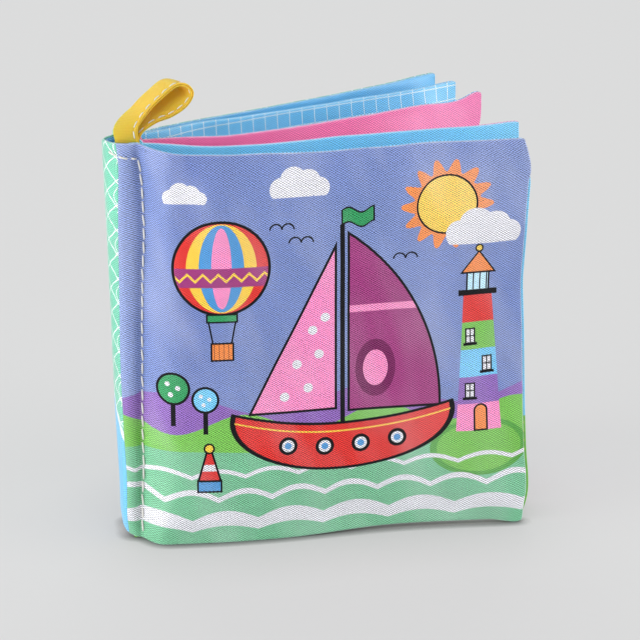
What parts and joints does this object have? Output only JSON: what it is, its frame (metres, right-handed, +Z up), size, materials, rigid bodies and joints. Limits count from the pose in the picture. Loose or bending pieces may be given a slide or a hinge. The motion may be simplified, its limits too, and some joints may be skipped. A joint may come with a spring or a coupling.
{
  "type": "crinkle cloth book",
  "caption": "Small padded cloth book with crinkle film in its leaves, a soft spine and a ribbon loop, standing fanned open on its lower edge.",
  "frame": {"origin": "middle of the bounding box at the lower edge, on the surface that the book stands on", "axes": "+Z up along the spine, +X from the spine along the front cover, -Y out of the front cover's face"},
  "size_m": [0.1318, 0.091, 0.1482],
  "materials": {
    "cover_print": "printed satin weave",
    "blue_cloth": "satin weave",
    "grid_cloth": "satin weave with a white grid",
    "pink_cloth": "satin weave",
    "mint_cloth": "satin weave with white lattice lines",
    "lining_cloth": "plain weave",
    "binding_cloth": "plain weave",
    "wadding": "needled fleece",
    "crinkle_film": "thin film",
    "ribbon": "stitched twill ribbon"
  },
  "bodies": {
    "spine": {"spine_cloth": "mint_cloth", "spine_lining": "lining_cloth", "leaf_1_binding_tab": "binding_cloth", "leaf_2_binding_tab": "binding_cloth", "leaf_3_binding_tab": "binding_cloth", "loop_front_end": "ribbon", "loop_back_end": "ribbon"},
    "front_cover": {"front_cover_outer_cloth": "cover_print", "front_cover_inner_cloth": "blue_cloth", "front_cover_wadding": "wadding", "front_cover_crinkle_film": "crinkle_film"},
    "leaf_1": {"leaf_1_front_cloth": "blue_cloth", "leaf_1_back_cloth": "pink_cloth", "leaf_1_wadding": "wadding", "leaf_1_crinkle_film": "crinkle_film"},
    "leaf_2": {"leaf_2_front_cloth": "pink_cloth", "leaf_2_back_cloth": "grid_cloth", "leaf_2_wadding": "wadding", "leaf_2_crinkle_film": "crinkle_film"},
    "leaf_3": {"leaf_3_front_cloth": "grid_cloth", "leaf_3_back_cloth": "blue_cloth", "leaf_3_wadding": "wadding", "leaf_3_crinkle_film": "crinkle_film"},
    "back_cover": {"back_cover_inner_cloth": "blue_cloth", "back_cover_outer_cloth": "mint_cloth", "back_cover_wadding": "wadding", "back_cover_crinkle_film": "crinkle_film"},
    "loop": {"hanging_loop": "ribbon"}
  },
  "joints": [
    {"name": "front_cover_hinge", "type": "hinge", "parent": "spine", "child": "front_cover", "pos_m": [-0.05599, -0.03659, 0], "axis": [0, 0, 1], "range_deg": [-150, 0]},
    {"name": "leaf_1_hinge", "type": "hinge", "parent": "spine", "child": "leaf_1", "pos_m": [-0.05449, -0.03169, 0], "axis": [0, 0, 1], "range_deg": [-67.5, 0]},
    {"name": "leaf_2_hinge", "type": "hinge", "parent": "spine", "child": "leaf_2", "pos_m": [-0.05449, -0.02799, 0], "axis": [0, 0, 1], "range_deg": [-30, 0]},
    {"name": "leaf_3_hinge", "type": "hinge", "parent": "spine", "child": "leaf_3", "pos_m": [-0.05449, -0.02319, 0], "axis": [0, 0, 1], "range_deg": [0, 39.6]},
    {"name": "back_cover_hinge", "type": "hinge", "parent": "spine", "child": "back_cover", "pos_m": [-0.05599, -0.01859, 0], "axis": [0, 0, 1], "range_deg": [0, 120]},
    {"name": "loop_hinge", "type": "hinge", "parent": "spine", "child": "loop", "pos_m": [-0.05799, -0.03409, 0.1302], "axis": [1, 0, 0], "range_deg": [-8, 75], "stiffness_Nm_per_rad": 0.002}
  ],
  "couplings": [
    {"joint": "leaf_1_hinge", "follows": "front_cover_hinge", "ratio": 0.45},
    {"joint": "leaf_2_hinge", "follows": "front_cover_hinge", "ratio": 0.2},
    {"joint": "leaf_3_hinge", "follows": "back_cover_hinge", "ratio": 0.33}
  ]
}
